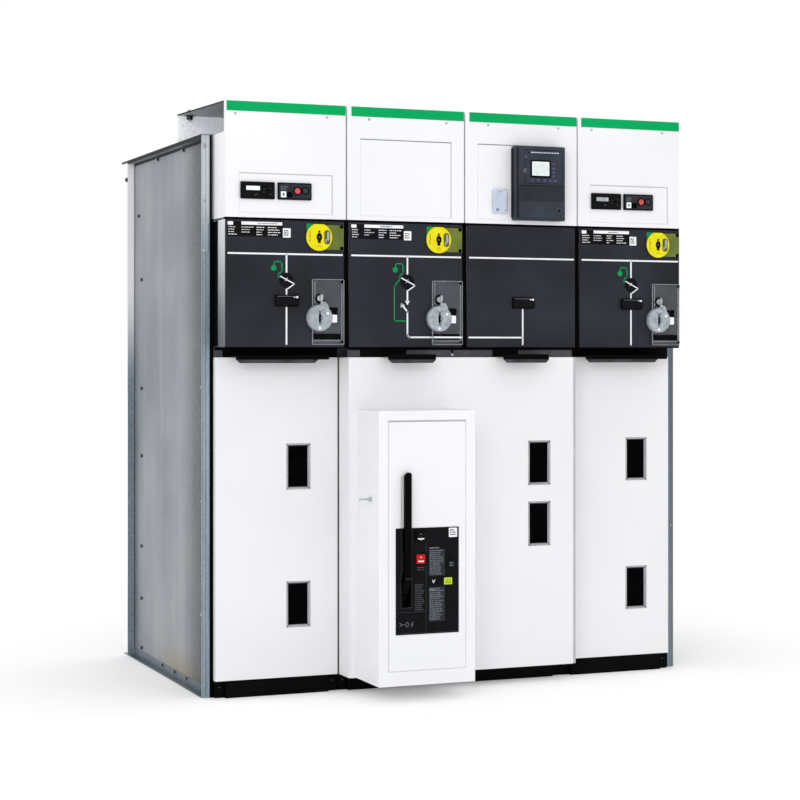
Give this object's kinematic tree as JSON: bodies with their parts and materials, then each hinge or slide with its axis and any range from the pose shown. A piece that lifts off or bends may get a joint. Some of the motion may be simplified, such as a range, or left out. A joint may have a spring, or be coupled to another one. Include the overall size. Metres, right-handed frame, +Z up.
{
  "type": "medium voltage switchgear line-up with gas insulated breaker",
  "caption": "Free-standing line-up of joined steel switchgear cubicles with a gas insulated circuit breaker, mimic control panels, windowed doors and a spring charging lever.",
  "frame": {"origin": "on the floor, at the centre of the middle cubicle's floor fixings", "axes": "+Z up, front faces -Y, +X to the right along the row"},
  "size_m": [1.45, 1.177, 1.6],
  "materials": {
    "galvanised_steel": "hot-dip galvanised sheet with faint spangle",
    "white_paint": "white powder coat, semi-gloss",
    "panel_grey": "anthracite film, matt",
    "black_plastic": "moulded, fine matt grain",
    "relay_grey": "moulded, dark slate grey",
    "lever_black": "moulded over a steel core",
    "frame_grey": "moulded, satin",
    "dark_glass": "clear pane before an unlit compartment",
    "black_paint": "black powder coat",
    "red_plastic": "moulded, glossy",
    "flag_yellow": "yellow-green flag",
    "zinc_steel": "bright zinc plated",
    "pale_plastic": "moulded, pale blue-grey",
    "yellow_plastic": "moulded, yellow",
    "tinted_plastic": "yellow tinted clear sheet",
    "grey_plastic": "moulded, light grey",
    "clear_plastic": "clear sheet"
  },
  "bodies": {
    "switchgear": {"base_frames": "galvanised_steel", "left_end_wall": "galvanised_steel", "right_end_wall": "galvanised_steel", "partitions": "galvanised_steel", "front_frames": "galvanised_steel", "rear_panels": "galvanised_steel", "roof_plates": "galvanised_steel", "wiring_roof": "galvanised_steel", "wiring_rear": "galvanised_steel", "instrument_housings": "white_paint", "instrument_cover_1": "white_paint", "instrument_cover_2": "white_paint", "instrument_cover_3": "white_paint", "instrument_cover_4": "white_paint", "mechanism_housings": "galvanised_steel", "control_panel_1": "panel_grey", "control_panel_2": "panel_grey", "control_panel_3": "panel_grey", "control_panel_4": "panel_grey", "left_door": "white_paint", "middle_door": "white_paint", "right_door": "white_paint", "grip_rails": "galvanised_steel", "door_grips": "black_plastic", "window_frames": "frame_grey", "window_panes": "dark_glass", "plinths": "black_paint", "breaker_box": "white_paint", "breaker_cover": "white_paint", "breaker_fascia": "black_plastic", "breaker_indicators": "flag_yellow", "locking_pin": "zinc_steel", "protection_relay": "relay_grey", "socket_box": "pale_plastic", "indicator_modules": "black_plastic", "marker_blocks": "black_plastic", "position_indicators": "black_plastic", "earthing_discs": "yellow_plastic", "earthing_covers": "tinted_plastic", "operating_discs": "grey_plastic", "operating_covers": "clear_plastic", "key_locks": "zinc_steel"},
    "lever": {"charging_lever": "lever_black"},
    "close_push": {"close_button": "black_plastic"},
    "open_push": {"open_button": "red_plastic"}
  },
  "joints": [
    {"name": "charging_swing", "type": "hinge", "parent": "switchgear", "child": "lever", "pos_m": [-0.2425, -0.668, 0.296], "axis": [1, 0, 0], "range_deg": [0, 100]},
    {"name": "close_press", "type": "slide", "parent": "switchgear", "child": "close_push", "axis": [0, 1, 0], "range_m": [0, 0.005], "stiffness_N_per_m": 600},
    {"name": "open_press", "type": "slide", "parent": "switchgear", "child": "open_push", "axis": [0, 1, 0], "range_m": [0, 0.005], "stiffness_N_per_m": 600}
  ]
}
